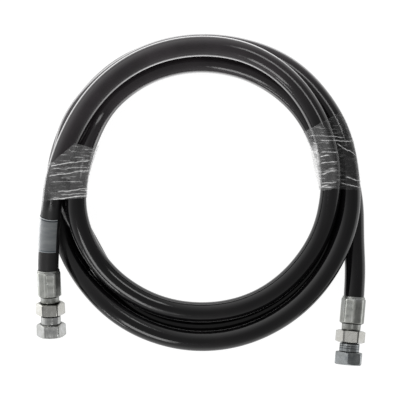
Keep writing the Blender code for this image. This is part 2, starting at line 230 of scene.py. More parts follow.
# Floor: its own light away from and in the bright ring and patch, and where those fade in and out
FLOOR_SIZE = 12.0
FLOOR_DROP = 0.2 * MM
FLOOR_GREY = ((0.3, (0.26, 0.26, 0.26)), (0.7, (0.3, 0.3, 0.3)))
FLOOR_GLOW = (0.95, 3.8)
RING_INSIDE = (160 * MM, 176 * MM)
RING_OUTSIDE = (215 * MM, 250 * MM)
RING_BEHIND = (-20 * MM, 120 * MM)
PATCH_SIDES = (30 * MM, 60 * MM)
PATCH_START = (20 * MM, 50 * MM)
PATCH_OUTSIDE = (100 * MM, 115 * MM)

# (name, place, size in metres, power in watts, what it lights)
LIGHTS = (
    ("key", (-0.52, -1.08, 1.0), (0.55, 0.6), 5.2, "soft"),
    ("rim", (-0.95, -1.1, 0.2), (0.4, 0.12), 1.2, "soft"),
    ("back", (0.64, 0.63, 1.33), (0.7, 0.35), 3.4, "soft"),
    ("cap", (0.21, -0.17, 1.5), (0.3, 0.3), 0.2, "metal"),
    ("spark", (-0.9, 0.25, 1.1), (0.12, 0.12), 1.2, "metal"),
    ("spark_right", (0.25, -0.9, 1.3), (0.12, 0.12), 0.8, "metal"),
)


# The hose's centreline, worked out exactly as in the CAD source


def between_keys(angles, column):
    """Smooth values of one column of TURN_KEYS at the given angles."""
    keys = np.array(TURN_KEYS, float)
    at, value = keys[:, 0], keys[:, column]
    step = np.diff(at)
    slope = np.diff(value) / step
    tangent = np.empty(len(at))
    tangent[0], tangent[-1] = slope[0], slope[-1]
    tangent[1:-1] = (slope[:-1] * step[1:] + slope[1:] * step[:-1]) / (step[1:] + step[:-1])
    index = np.clip(np.searchsorted(at, angles, side="right") - 1, 0, len(step) - 1)
    t = (angles - at[index]) / step[index]
    start = value[index] * (1 + 2 * t) * (1 - t) ** 2 + tangent[index] * step[index] * t * (1 - t) ** 2
    end = value[index + 1] * t * t * (3 - 2 * t) + tangent[index + 1] * step[index] * t * t * (t - 1)
    return start + end


def coil_points():
    angles = np.append(np.arange(TURN_KEYS[0][0], TURN_KEYS[-1][0], KEY_STEP), TURN_KEYS[-1][0])
    radius = between_keys(angles, 1) * MM
    turn = np.radians(angles)
    x = COIL_CENTRE[0] + radius * np.sin(turn)
    y = COIL_CENTRE[1] + radius * np.cos(turn)
    return np.stack([x, y, REST_HEIGHT + between_keys(angles, 2) * LEVEL], axis=1)


def smooth_through(points, steps=TAIL_STEPS):
    """A curve through the points, with a number of steps between each two."""
    points = np.array(points, float)
    padded = np.vstack([2 * points[0] - points[1], points, 2 * points[-1] - points[-2]])
    curve = []
    for index in range(1, len(padded) - 2):
        a, b, c, d = padded[index - 1:index + 3]
        for t in np.linspace(0, 1, steps, endpoint=False):
            linear = (c - a) * t
            square = (2 * a - 5 * b + 4 * c - d) * t ** 2
            cube = (3 * b - a - 3 * c + d) * t ** 3
            curve.append(0.5 * (2 * b + linear + square + cube))
    return np.array(curve + [points[-1]])


def fitting_axis(heading, tilt):
    """Direction from the hose out to the nut."""
    flat = math.cos(tilt)
    return np.array([math.sin(heading) * flat, -math.cos(heading) * flat, -math.sin(tilt)])


def ferrule_end(place, face_height, tilt):
    return np.array([*place, face_height + NUT_FACE * math.sin(tilt)])


LEFT_AXIS = fitting_axis(LEFT_HEADING, LEFT_TILT)
RIGHT_AXIS = fitting_axis(RIGHT_HEADING, RIGHT_TILT)
LEFT_END = ferrule_end(LEFT_FERRULE_XY, LEFT_FACE_HEIGHT, LEFT_TILT)
RIGHT_END = ferrule_end(RIGHT_FERRULE_XY, RIGHT_FACE_HEIGHT, RIGHT_TILT)


def planned_route():
    coil = coil_points()
    left = [LEFT_END + LEFT_AXIS * HOSE_IN_FERRULE, LEFT_END]
    left += [np.array(point) * MM for point in LEFT_TAIL] + [coil[0]]
    right = [coil[-1]] + [np.array(point) * MM for point in RIGHT_TAIL]
    right += [RIGHT_END, RIGHT_END + RIGHT_AXIS * HOSE_IN_FERRULE]
    return np.vstack([smooth_through(left)[:-1], coil, smooth_through(right)[1:]])


def distances_along(points):
    return np.append(0, np.cumsum(np.linalg.norm(np.diff(points, axis=0), axis=1)))


def points_at(points, distances):
    along = distances_along(points)
    return np.stack([np.interp(distances, along, points[:, axis]) for axis in range(3)], axis=1)


def settled_route():
    """The planned route with its turns pushed apart until none passes through another."""
    planned = planned_route()
    length = distances_along(planned)[-1]
    target = points_at(planned, np.linspace(0, length, round(length / SETTLE_SPACING) + 1))
    points = target.copy()
    index = np.arange(len(points))
    apart = np.abs(index[:, None] - index[None, :]) > SETTLE_NEIGHBOURS
    free = ((index >= SETTLE_FIXED) & (index < len(points) - SETTLE_FIXED))[:, None]
    needed = 2 * HOSE_RADIUS + SETTLE_GAP
    for number in range(SETTLE_ROUNDS):
        early = 1 - number / SETTLE_ROUNDS
        offset = points[:, None] - points[None, :]
        distance = np.linalg.norm(offset, axis=2)
        overlap = np.where(apart & (distance < needed), needed / np.maximum(distance, MM) - 1, 0)
        push = (overlap[..., None] * offset).sum(axis=1) * SETTLE_PUSH
        bend = np.zeros_like(points)
        bend[2:-2] = 4 * (points[1:-3] + points[3:-1]) - points[:-4] - points[4:] - 6 * points[2:-2]
        pull = (target - points) * SETTLE_PULL
        stiffness = SETTLE_BEND + SETTLE_EARLY_BEND * early
        points = points + free * (push + bend * stiffness + pull * early)
        points[:, 2] = np.maximum(points[:, 2], REST_HEIGHT)
    return points


ROUTE = settled_route()
SMOOTH_ROUTE = smooth_through(ROUTE, 6)
ROUTE_LENGTH = distances_along(SMOOTH_ROUTE)[-1]


# Node trees


class Nodes:
    """Short calls for building one node tree."""

    def __init__(self, tree):
        self.tree = tree

    def add(self, kind, **settings):
        node = self.tree.nodes.new(kind)
        for key, value in settings.items():
            setattr(node, key, value)
        return node

    def link(self, source, target):
        self.tree.links.new(source, target)

    def coordinates(self, kind="Object"):
        return self.add("ShaderNodeTexCoord").outputs[kind]

    def parts(self, source):
        """The X, Y and Z sockets of a vector."""
        split = self.add("ShaderNodeSeparateXYZ")
        self.link(source, split.inputs["Vector"])
        return [split.outputs[axis] for axis in "XYZ"]

    def scaled(self, source, scale):
        mapping = self.add("ShaderNodeMapping")
        mapping.inputs["Scale"].default_value = scale
        self.link(source, mapping.inputs["Vector"])
        return mapping.outputs["Vector"]

    def noise(self, source, scale, detail=2.0, roughness=0.5):
        node = self.add("ShaderNodeTexNoise")
        node.inputs["Scale"].default_value = scale
        node.inputs["Detail"].default_value = detail
        node.inputs["Roughness"].default_value = roughness
        self.link(source, node.inputs["Vector"])
        return node.outputs["Fac"]

    def spread(self, source, low, high, new_low, new_high):
        """Takes low to new_low and high to new_high, and stays there beyond them."""
        node = self.add("ShaderNodeMapRange")
        ends = {"From Min": low, "From Max": high, "To Min": new_low, "To Max": new_high}
        for name, value in ends.items():
            node.inputs[name].default_value = value
        self.link(source, node.inputs["Value"])
        return node.outputs["Result"]

    def maths(self, operation, *values):
        node = self.add("ShaderNodeMath", operation=operation)
        for socket, value in zip(node.inputs, values):
            if isinstance(value, (int, float)):
                socket.default_value = value
            else:
                self.link(value, socket)
        return node.outputs["Value"]

    def weighted(self, first, share, second, other_share):
        first, second = self.maths("MULTIPLY", first, share), self.maths("MULTIPLY", second, other_share)
        return self.maths("ADD", first, second)

    def length(self, x, y):
        squares = [self.maths("MULTIPLY", part, part) for part in (x, y)]
        return self.maths("SQRT", self.maths("ADD", *squares))

    def distance(self, first, second):
        return self.maths("ABSOLUTE", self.maths("SUBTRACT", first, second))

    def window(self, source, start, stop, fade):
        """1 from start to stop, fading to 0 just inside both."""
        rise = self.spread(source, start, start + fade, 0, 1)
        return self.maths("MULTIPLY", rise, self.spread(source, stop - fade, stop, 1, 0))

    def colours(self, source, *stops):
        node = self.add("ShaderNodeValToRGB")
        ramp = node.color_ramp
        while len(ramp.elements) < len(stops):
            ramp.elements.new(0.5)
        for element, (place, colour) in zip(ramp.elements, stops):
            element.position = place
            element.color = (*colour, 1.0)
        self.link(source, node.inputs["Fac"])
        return node.outputs["Color"]

    def mixed(self, factor, first, second):
        node = self.add("ShaderNodeMix", data_type="RGBA")
        for name, source in (("Factor", factor), ("A", first), ("B", second)):
            self.link(source, node.inputs[name])
        return node.outputs["Result"]


class Look(Nodes):
    """One material."""

    def __init__(self, name):
        self.material = bpy.data.materials.new(name)
        self.material.use_nodes = True
        super().__init__(self.material.node_tree)
        self.shader = self.tree.nodes["Principled BSDF"]

    def set(self, **values):
        for key, value in values.items():
            self.shader.inputs[key.replace("_", " ")].default_value = value

    def feed(self, **sources):
        for key, source in sources.items():
            self.link(source, self.shader.inputs[key.replace("_", " ")])

    def bump(self, *heights):
        """Each height is (socket, distance in metres); they add up."""
        normal = None
        for source, distance in heights:
            node = self.add("ShaderNodeBump")
            node.inputs["Distance"].default_value = distance
            self.link(source, node.inputs["Height"])
            if normal is not None:
                self.link(normal, node.inputs["Normal"])
            normal = node.outputs["Normal"]
        self.feed(Normal=normal)


# Looks. A stop is (noise value, linear colour).

COVER_BLACK = ((0.3, (0.0025, 0.0025, 0.003)), (0.6, (0.004, 0.0035, 0.004)), (0.8, (0.008, 0.0065, 0.007)))
# Painted light: a lighter grey on the rubber towards the back of the coil, where it is lit more brightly
COVER_PAINTED_LIGHT = ((0.3, (0.024, 0.021, 0.023)), (0.7, (0.04, 0.034, 0.038)))
PAINTED_LIGHT_LEAN = -0.3
PAINTED_LIGHT_FADE = (35 * MM, 110 * MM)
HANDLED_X = (-120 * MM, -126 * MM)
HANDLED_Y = (0.0, -12 * MM)
HANDLED_ROUGHNESS = 0.55


def rubber_cover():
    """Glossy black rubber, duller on the left tail, with faint grey painted light towards the back, furthest
    from the fittings.
    """
    made = Look("cover_rubber_look")
    made.set(Metallic=0.0, IOR=1.48)
    place = made.coordinates()
    x, y, _ = made.parts(place)
    patches = made.noise(place, 28, 4, 0.6)
    dust = made.noise(place, 900, 3, 0.6)
    weave = made.noise(made.scaled(made.coordinates("UV"), (2200, 26, 1)), 1.0, 2, 0.5)
    # Painted light: the colour goes from black to a lighter grey towards the back of the coil
    back = made.maths("ADD", made.maths("MULTIPLY", x, PAINTED_LIGHT_LEAN), y)
    painted_light = made.spread(back, *PAINTED_LIGHT_FADE, 0.0, 1.0)
    tint = made.mixed(painted_light, made.colours(patches, *COVER_BLACK), made.colours(patches, *COVER_PAINTED_LIGHT))
    gloss = made.spread(made.noise(place, 45, 5, 0.65), 0.3, 0.75, 0.09, 0.2)
    on_tail = made.spread(x, *HANDLED_X, 0.0, 1.0)
    handled = made.maths("MULTIPLY", on_tail, made.spread(y, *HANDLED_Y, 0.0, HANDLED_ROUGHNESS))
    made.feed(Base_Color=tint, Roughness=made.maths("MAXIMUM", gloss, handled))
    made.bump((weave, 0.015 * MM), (dust, 0.012 * MM), (patches, 0.2 * MM))
    return made.material


def braid_steel():
    made = Look("braid_steel_look")
    made.set(Metallic=1.0)
    wires = made.add("ShaderNodeTexWave", wave_type="BANDS", bands_direction="DIAGONAL")
    wires.inputs["Scale"].default_value = 1.0
    made.link(made.scaled(made.coordinates("UV"), (900, 9, 1)), wires.inputs["Vector"])
    crown = wires.outputs["Fac"]
    tint = made.colours(crown, (0.2, (0.35, 0.3, 0.2)), (0.8, (0.75, 0.68, 0.5)))
    made.feed(Base_Color=tint, Roughness=made.spread(crown, 0, 1, 0.5, 0.3))
    made.bump((crown, 0.12 * MM))
    return made.material


def plain_rubber(name, colour, low, high):
    """Rubber with a fine grain, of roughness low to high."""
    made = Look(name)
    made.set(Metallic=0.0)
    grain = made.noise(made.coordinates(), 1400, 3)
    darker = tuple(part * 0.7 for part in colour)
    tint = made.colours(grain, (0.35, darker), (0.7, colour))
    made.feed(Base_Color=tint, Roughness=made.spread(grain, 0.3, 0.7, low, high))
    made.bump((grain, 0.02 * MM))
    return made.material


# How far out the painted shade in a crevice of a fitting reaches, and how dark it is
CREVICE_REACH = (9.5 * MM, 10.4 * MM)
CREVICE_PAINTED_SHADE = 0.05


def plated_steel(name, light, dark, gloss, edge, crevices=()):
    """Zinc plate on turned steel: fine rings along local Z, cloudy tone, small scuffs.

    gloss is the roughness from and to. edge is (radius from, radius to, tone) for the corners of the flats,
    where a tone above 1 paints a highlight and one below 1 paints shade, and crevices are (local Z, reach)
    of the joints where shade is painted dark, all in mm.
    """
    made = Look(name)
    made.set(Metallic=1.0, Specular_Tint=(0.5, 0.5, 0.5, 1.0))
    place = made.coordinates()
    x, y, z = made.parts(place)
    clouds = made.noise(place, 130, 5, 0.62)
    rings = made.noise(made.scaled(place, (6, 6, 5200)), 1.0, 3, 0.6)
    scuffs = made.noise(made.scaled(place, (900, 900, 160)), 1.0, 4, 0.7)
    middle = tuple((a + b) / 2 * t for a, b, t in zip(light, dark, (1.0, 0.99, 0.94)))
    tone = made.weighted(clouds, 0.7, scuffs, 0.3)
    tint = made.colours(tone, (0.32, dark), (0.5, middle), (0.66, light))
    radius = made.length(x, y)
    # Painted highlight and shade: the corners of the flats are brightened or darkened by the edge tone
    shade = made.spread(radius, edge[0] * MM, edge[1] * MM, 1.0, edge[2])
    outside = made.spread(radius, *CREVICE_REACH, 0.0, 1.0)
    # Painted shade: each crevice is darkened near the neck, where the gap between the parts lies in shadow
    for at, reach in crevices:
        unshaded = made.spread(made.distance(z, at * MM), reach * 0.5 * MM, reach * MM, CREVICE_PAINTED_SHADE, 1.0)
        shade = made.maths("MULTIPLY", shade, made.maths("MAXIMUM", unshaded, outside))
    shaded = made.add("ShaderNodeVectorMath", operation="SCALE")
    made.link(tint, shaded.inputs["Vector"])
    made.link(shade, shaded.inputs["Scale"])
    rough = made.spread(made.weighted(clouds, 0.6, scuffs, 0.4), 0.35, 0.65, *gloss)
    made.feed(Base_Color=shaded.outputs["Vector"], Roughness=rough)
    made.bump((rings, 0.02 * MM), (clouds, 0.06 * MM), (scuffs, 0.015 * MM))
    return made.material


FILM_WHITE = ((0.0, (0.5, 0.5, 0.5)), (0.3, (0.8, 0.8, 0.8)), (1.0, (0.97, 0.97, 0.97)))
FILM_MOST = 0.97
HAZE_BEYOND = 0.2
LINE_SWAY = 4 * MM
LINE_WIDTH = (0.2 * MM, 0.65 * MM)
LINE_FADE = 3
GLARE_FADE = (0.06, 0.035)


def clear_film(name, haze, clear_from, lines, glares):
    """Stretch film: clear, with thin white lines across the bundle and small patches of glare.

    haze is the alpha of flat film, which goes clearer beyond clear_from mm from the coil's middle.
    lines are (X from, X to, Y in the middle, slope, strength) in mm, and glares are patches of
    (u from, u to, v from, v to) in the band's map, whose outer skin is the lower half of u.
    """
    made = Look(name)
    made.set(Metallic=0.0, IOR=1.45)
    place = made.coordinates()
    x, y, _ = made.parts(place)
    u, v, _ = made.parts(made.coordinates("UV"))
    sway = made.maths("MULTIPLY", made.maths("SUBTRACT", made.noise(place, 90, 3, 0.6), 0.5), LINE_SWAY)
    patches = made.noise(place, 120, 3, 0.55)
    flecks = made.spread(made.noise(made.scaled(place, (1.0, 2.5, 1.0)), 260, 3, 0.6), 0.4, 0.55, 0.4, 1.0)
    wisps = made.noise(made.scaled(place, (70, 620, 70)), 1.0, 3, 0.6)
    radius = made.length(*(made.maths("SUBTRACT", part, at) for part, at in zip((x, y), COIL_CENTRE)))
    hazy = made.spread(radius, (clear_from - 3) * MM, (clear_from + 2) * MM, 1.0, HAZE_BEYOND)
    white = made.maths("MULTIPLY", made.spread(wisps, 0.56, 0.74, 0.0, 0.5), hazy)
    for start, stop, middle, slope, strength in lines:
        half = (stop - start) / 2
        along = made.maths("SUBTRACT", x, (start + half) * MM)
        line = made.maths("ADD", made.maths("MULTIPLY", along, slope), middle * MM)
        line = made.spread(made.distance(y, made.maths("ADD", line, sway)), *LINE_WIDTH, 1.0, 0.0)
        from_middle = made.maths("ABSOLUTE", along)
        ends = made.spread(from_middle, (half - LINE_FADE) * MM, half * MM, strength, 0.0)
        line = made.maths("MULTIPLY", made.maths("MULTIPLY", line, ends), flecks)
        white = made.maths("MAXIMUM", white, line)
    streaks = made.spread(wisps, 0.35, 0.65, 0.3, 0.75)
    for start, stop, low, high in glares:
        across = made.window(u, start, stop, GLARE_FADE[0])
        patch = made.maths("MULTIPLY", across, made.window(v, low, high, GLARE_FADE[1]))
        white = made.maths("MAXIMUM", white, made.maths("MULTIPLY", patch, streaks))
    base = made.maths("MULTIPLY", made.spread(patches, 0.3, 0.7, haze * 0.6, haze * 1.4), hazy)
    alpha = made.maths("MINIMUM", made.maths("ADD", base, white), FILM_MOST)
    rough = made.spread(patches, 0.3, 0.7, 0.15, 0.35)
    made.feed(Base_Color=made.colours(white, *FILM_WHITE), Alpha=alpha, Roughness=rough)
    made.bump((white, 0.2 * MM), (patches, 0.5 * MM))
    return made.material


LABEL_GREY = ((0.3, (0.19, 0.205, 0.215)), (0.5, (0.26, 0.275, 0.285)), (0.7, (0.36, 0.375, 0.385)))
LABEL_ENDS = (
    (0.0, (0.45, 0.48, 0.5)), (0.035, (0.08, 0.1, 0.12)),
    (0.93, (0.02, 0.03, 0.04)), (0.95, (0.6, 0.63, 0.65)),
)
LABEL_MIDDLE = (0.05, 0.9)


def label_look():
    """Blank grey label with a light edge and a dark line at each end, and cloudy film over it."""
    made = Look("label_look")
    made.set(Metallic=0.0, IOR=1.48, Coat_Weight=0.5, Coat_Roughness=0.2)
    place = made.coordinates("UV")
    along, _, _ = made.parts(place)
    clouds = made.noise(made.scaled(place, (5, 3, 1)), 1.0, 4, 0.6)
    after = made.maths("GREATER_THAN", along, LABEL_MIDDLE[0])
    inside = made.maths("MULTIPLY", after, made.maths("LESS_THAN", along, LABEL_MIDDLE[1]))
    tint = made.mixed(inside, made.colours(along, *LABEL_ENDS), made.colours(clouds, *LABEL_GREY))
    made.feed(Base_Color=tint, Roughness=made.spread(clouds, 0.3, 0.7, 0.25, 0.45))
    made.bump((clouds, 0.3 * MM))
    return made.material


# Meshes


def add_piece(name, mesh, material, body, node, sharp_angle, place=Matrix()):
    """One piece that rides on a body in place of a CAD node; edges past sharp_angle stay sharp."""
    mesh.materials.append(material)
    mesh.shade_smooth()
    mesh.set_sharp_from_angle(angle=math.radians(sharp_angle))
    piece = bpy.data.objects.new(name, mesh)
    bpy.context.scene.collection.objects.link(piece)
    piece.matrix_world = place
    bpy.context.view_layer.update()
    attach(piece, body)
    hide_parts(node)
    return piece


def rings_to_mesh(name, rings, ring_loop=True):
    """Faces between neighbouring rings, with (row, column) kept as a UV map."""
    count, rows = len(rings[0]), len(rings)
    points = [tuple(point) for ring in rings for point in ring]
    faces, coordinates = [], []
    for row in range(rows if ring_loop else rows - 1):
        here, below = row * count, (row + 1) % rows * count
        for index in range(count):
            after = (index + 1) % count
            faces.append((here + index, here + after, below + after, below + index))
            u, v = row / rows, index / count
            coordinates += [(u, v), (u, v + 1 / count), (u + 1 / rows, v + 1 / count), (u + 1 / rows, v)]
    if not ring_loop:
        for row in (0, rows - 1):
            faces.append(tuple(row * count + index for index in range(count)))
            coordinates += [(row / rows, index / count) for index in range(count)]
    mesh = bpy.data.meshes.new(name)
    mesh.from_pydata(points, [], faces)
    layer = mesh.uv_layers.new(name="rows")
    layer.data.foreach_set("uv", np.array(coordinates, np.float32).ravel())
    body = bmesh.new()
    body.from_mesh(mesh)
    bmesh.ops.recalc_face_normals(body, faces=body.faces)
    body.to_mesh(mesh)
    body.free()
    return mesh


def frames_along(points):
    """(points, sides, ups) square to the curve, carried along with no twist."""
    tangents = np.gradient(points, axis=0)
    tangents /= np.linalg.norm(tangents, axis=1)[:, None]
    up = np.array([0.0, 0.0, 1.0])
    ups = np.empty_like(points)
    for index, tangent in enumerate(tangents):
        up = up - tangent * (up @ tangent)
        up /= np.linalg.norm(up)
        ups[index] = up
    return points, np.cross(tangents, ups), ups


def section(frames, index, radius, turns):
    point, side, up = (part[index] for part in frames)
    return point + (np.cos(turns)[:, None] * side + np.sin(turns)[:, None] * up) * radius


def hose_layer(name, outside, inside, step, sides):
    """A tube along the hose, with the line that it follows."""
    count = round(ROUTE_LENGTH / step)
    line = points_at(SMOOTH_ROUTE, np.linspace(0, ROUTE_LENGTH, count + 1))
    frames = frames_along(line)
    turns = np.linspace(0, 2 * math.pi, sides, endpoint=False)
    rings = [section(frames, index, outside, turns) for index in range(count + 1)]
    rings += [section(frames, index, inside, turns) for index in range(count, -1, -1)]
    return rings_to_mesh(name, rings), line


def label_mesh():
    line = points_at(SMOOTH_ROUTE, HOSE_IN_FERRULE + np.linspace(*LABEL_SPAN, LABEL_ROWS))
    frames = frames_along(line)
    turns = np.radians(np.linspace(*LABEL_ARC, LABEL_COLUMNS))
    inside, outside = LABEL_REACH
    rings = []
    for index in range(LABEL_ROWS):
        outer = section(frames, index, outside, turns)
        rings.append(np.vstack([outer, section(frames, index, inside, turns[::-1])]))
    return rings_to_mesh("label", rings, ring_loop=False)


# Film round the bundle


def strand_sections(angle):
    """(radius, height, half-width) of each pass of the hose through the plane at a clockwise angle."""
    turn = math.radians(angle)
    out = np.array([math.sin(turn), math.cos(turn)])
    flat = SMOOTH_ROUTE[:, :2] - COIL_CENTRE
    side = flat[:, 0] * out[1] - flat[:, 1] * out[0]
    reach = flat @ out
    crossing = np.nonzero(((side[:-1] < 0) != (side[1:] < 0)) & (reach[:-1] > 0))[0]
    step = SMOOTH_ROUTE[crossing + 1] - SMOOTH_ROUTE[crossing]
    crossed = side[crossing] - side[crossing + 1]
    t = side[crossing] / crossed
    radius = reach[crossing] + t * (reach[crossing + 1] - reach[crossing])
    half = HOSE_RADIUS * np.linalg.norm(step, axis=1) / np.abs(crossed)
    return np.stack([radius, SMOOTH_ROUTE[crossing, 2] + t * step[:, 2], half], axis=1)


def film_point(sections, angle, facing, gap, lowest):
    """A point on the tight wrap round the bundle, on the side that faces away from its middle."""
    along, up = math.cos(facing), math.sin(facing)
    radius, height, half = sections[np.argmax(sections @ (along, up, 1.0))]
    turn = math.radians(angle)
    radius += (half + gap) * along
    return (
        COIL_CENTRE[0] + radius * math.sin(turn),
        COIL_CENTRE[1] + radius * math.cos(turn),
        max(height + (half + gap) * up, lowest),
    )


def bell(off, width):
    return math.exp(-((off / width) ** 2))


def film_band(name, film):
    """A wrap from one angle to another, with shallow folds, as thin as FILM_THICKNESS.

    stops are its far edge on the outer and on the inner side. creases are (angle, lean, height in
    mm, width) folds across the bundle. bridges are (angle, width, height in mm), where the film
    spans a hollow on the inner side instead of following the hose.
    """
    start, (outer_stop, inner_stop), seed = film["start"], film["stops"], film["seed"]
    outer, inner = [], []
    for row in range(FILM_ROWS + 1):
        share = row / FILM_ROWS
        ring_out, ring_in = [], []
        for index in range(FILM_FACETS):
            facing = 2 * math.pi * index / FILM_FACETS
            inward = 0.5 - 0.5 * math.cos(facing)
            round_bundle = Vector((math.cos(facing) * 2, math.sin(facing) * 2, seed))
            waver = noise.noise(round_bundle) * FILM_WAVER
            stop = outer_stop + (inner_stop - outer_stop) * inward ** FILM_EDGE_POWER + waver
            angle = start + waver * FILM_START_SHARE * (1 - share) + (stop - start) * share
            ripple = noise.noise(Vector((angle * 0.5, facing * 2, seed))) * FILM_RIPPLE
            for place, lean, height, width in film["creases"]:
                ripple += height * bell(angle - place - lean * math.sin(facing) - waver, width)
            gap = TAPE_GAP + max(ripple, 0.0) * max(math.sin(facing), FILM_UNDERSIDE_SHARE) * MM
            for place, width, height in film["bridges"]:
                gap += height * MM * inward ** 4 * bell(angle - place, width)
            sections = strand_sections(angle)
            ring_in.append(film_point(sections, angle, facing, gap, FILM_FLOOR + FILM_THICKNESS))
            ring_out.append(film_point(sections, angle, facing, gap + FILM_THICKNESS, FILM_FLOOR))
        outer.append(ring_out)
        inner.append(ring_in)
    return rings_to_mesh(name, outer + inner[::-1])


# Fittings: hollow turned bodies about +Z, from (place, reach, flats, cone) rings in mm


def flat_sided(reach, flats, cone, turn, blunt):
    """Radius at one turn: round, or flat-sided with blunted corners and cut back to a cone."""
    if not flats:
        return reach
    part = 2 * math.pi / flats
    corner = reach / math.cos(part / 2)
    radius = reach / math.cos((turn + part / 2) % part - part / 2)
    return min(radius, corner - blunt, cone)


def turned(name, rings, twist=0.0, blunt=CORNER_BLUNT, wobble=None):
    made = []
    for place, reach, flats, cone in rings:
        ring = []
        for index in range(METAL_FACETS):
            turn = 2 * math.pi * index / METAL_FACETS
            radius = flat_sided(reach, flats, cone, turn, blunt)
            if wobble:
                radius += wobble(place, turn, radius)
            across = turn + twist
            ring.append((radius * math.cos(across) * MM, radius * math.sin(across) * MM, place * MM))
        made.append(ring)
    return rings_to_mesh(name, made)


def round_rings(*points):
    return [(place, reach, 0, NO_CONE) for place, reach in points]


def hexagon_rings(start, stop, start_chamfer, stop_chamfer):
    """A hexagon with a turned chamfer on each end; a chamfer is its axial depth."""
    corner = HEX_APOTHEM / math.cos(math.pi / 6)
    cut = corner - HEX_APOTHEM + HEX_CUT
    shares = [step / HEX_STEPS for step in range(HEX_STEPS + 1)]
    rings = [(start + start_chamfer * share, HEX_APOTHEM, 6, corner - cut * (1 - share)) for share in shares]
    rings += [(stop - stop_chamfer * (1 - share), HEX_APOTHEM, 6, corner - cut * share) for share in shares]
    return rings


def thread_rings(start, stop, reach):
    """Rings for the nut's internal thread; the helix itself comes from thread_wave."""
    count = round(abs(stop - start) / THREAD["pitch"] * THREAD["rings"])
    middle = reach + THREAD["depth"] / 4
    return [(start + (stop - start) * step / count, middle, 0, NO_CONE) for step in range(count + 1)]


def thread_wave(place, turn, radius):
    low, high = THREAD["between"]
    if not low <= radius <= high or not THREAD["start"] <= place <= THREAD["stop"]:
        return 0.0
    phase = (place / THREAD["pitch"] - turn / (2 * math.pi)) % 1.0
    ends = min(1.0, (place - THREAD["start"]) / THREAD["fade"], (THREAD["stop"] - place) / THREAD["fade"])
    return (abs(phase * 2 - 1) - 0.5) * THREAD["depth"] * ends


def ferrule_wobble(place, turn, radius):
    """Shallow swage: soft waves along each flat, and a fine line of metal raised between flats."""
    if radius < SWAGE["beyond"] or not SWAGE["start"] <= place <= SWAGE["stop"]:
        return 0.0
    part = 2 * math.pi / FERRULE_FLATS
    ridge = SWAGE["ridge"] * bell(abs((turn % part) - part / 2), SWAGE["ridge_width"])
    along = (place - SWAGE["start"]) / (SWAGE["stop"] - SWAGE["start"])
    return ridge - SWAGE["depth"] * (1 - math.cos(along * SWAGE["waves"] * 2 * math.pi)) / 2


def ferrule_rings():
    flats = FERRULE_FLATS
    rings = round_rings((0.0, 9.95), (0.15, 10.2), (0.5, 10.32), (1.7, 10.36))
    rings += [(2.1 + 0.3 * step, 10.5 + 0.08 * step, flats, 11.2) for step in range(4)]
    rings += [(3.4 + 20.4 * step / 24, 10.75, flats, 11.45) for step in range(25)]
    rings += [(24.1, 10.6, flats, 11.0), (24.5, 10.3, flats, 10.6)]
    rings += round_rings((25.0, 9.5), (25.4, 8.95), (25.9, 8.75), (30.5, 8.7), (30.8, 8.6), (31.0, 8.4))
    return rings + round_rings((31.0, 7.3), (25.0, 7.3), (24.6, 9.75), (0.0, 9.75))


def stem_rings():
    rings = round_rings((1.0, 3.8), (2.0, 4.5), (8.0, 4.5), (8.2, 4.1), (14.0, 4.5), (14.2, 4.1))
    rings += round_rings((20.0, 4.5), (24.9, 4.5), (25.4, 7.0), (31.3, 7.0), (31.4, 11.2))
    rings += hexagon_rings(31.4, 42.4, 0.9, 0.9)
    rings += round_rings((42.5, 11.2), (42.6, 7.3), (42.9, 7.0), (46.0, 7.0), (46.1, 6.9), (46.1, 6.1))
    rings += round_rings((48.9, 6.1), (48.9, 6.9), (49.0, 7.0), (52.3, 7.0), (52.4, 6.9), (52.4, 6.0))
    rings += round_rings((54.4, 6.0), (54.4, 6.6), (54.5, 6.7), (57.3, 6.1), (57.6, 5.8))
    return rings + round_rings((57.6, 3.9), (57.2, 3.5), (1.0, 3.5))


def nut_rings():
    rings = round_rings((43.2, 8.3), (43.4, 8.9), (43.8, 9.15), (44.2, 9.2), (50.6, 9.2))
    rings += round_rings((51.0, 9.4), (51.2, 10.6))
    rings += hexagon_rings(51.3, 63.1, 1.1, 1.5)
    rings += round_rings((63.2, 11.2), (63.2, 10.2), (62.3, 9.3))
    rings += thread_rings(THREAD["stop"], THREAD["start"], 9.2)
    rings += round_rings((52.0, 9.3), (51.6, 9.2), (50.8, 7.35), (48.5, 7.35), (48.5, 8.2), (46.5, 8.2))
    return rings + round_rings((46.5, 7.35), (43.6, 7.35), (43.2, 7.6))


def ring_of_wire(place, major, minor, sides=24):
    turns = [2 * math.pi * index / sides for index in range(sides)]
    return round_rings(*((place + minor * math.sin(turn), major + minor * math.cos(turn)) for turn in turns))


def add_fitting(side, end, axis, turns, looks):
    """One end's five pieces, with looks keyed by slot."""
    forward = Vector(axis)
    level = forward.cross(Vector((0, 0, 1))).normalized()
    flat_up = level.cross(forward)
    turn = Matrix((flat_up, forward.cross(flat_up), forward)).transposed()
    place = Matrix.Translation(Vector(end)) @ turn.to_4x4()
    ferrule = turned("ferrule", ferrule_rings(), turns["ferrule"], FERRULE_BLUNT, ferrule_wobble)
    nut = turned("nut", nut_rings(), turns["swivel_nut"], wobble=thread_wave)
    pieces = (
        ("ferrule", ferrule, "root", "ferrule_zinc"),
        ("stem", turned("stem", stem_rings()), "root", "stem_zinc"),
        ("swivel_nut", nut, side + "_nut", "nut_zinc"),
        ("thrust_wire", turned("wire", ring_of_wire(*THRUST_WIRE)), side + "_wire", "wire_steel"),
        ("cone_o_ring", turned("o_ring", ring_of_wire(*O_RING)), "root", "seal_rubber"),
    )
    made = []
    for name, mesh, body, slot in pieces:
        node = side + "_" + name
        made.append(add_piece(node + "_fine", mesh, looks[slot], body, node, METAL_SHARP_ANGLE, place))
    return made


# Stage


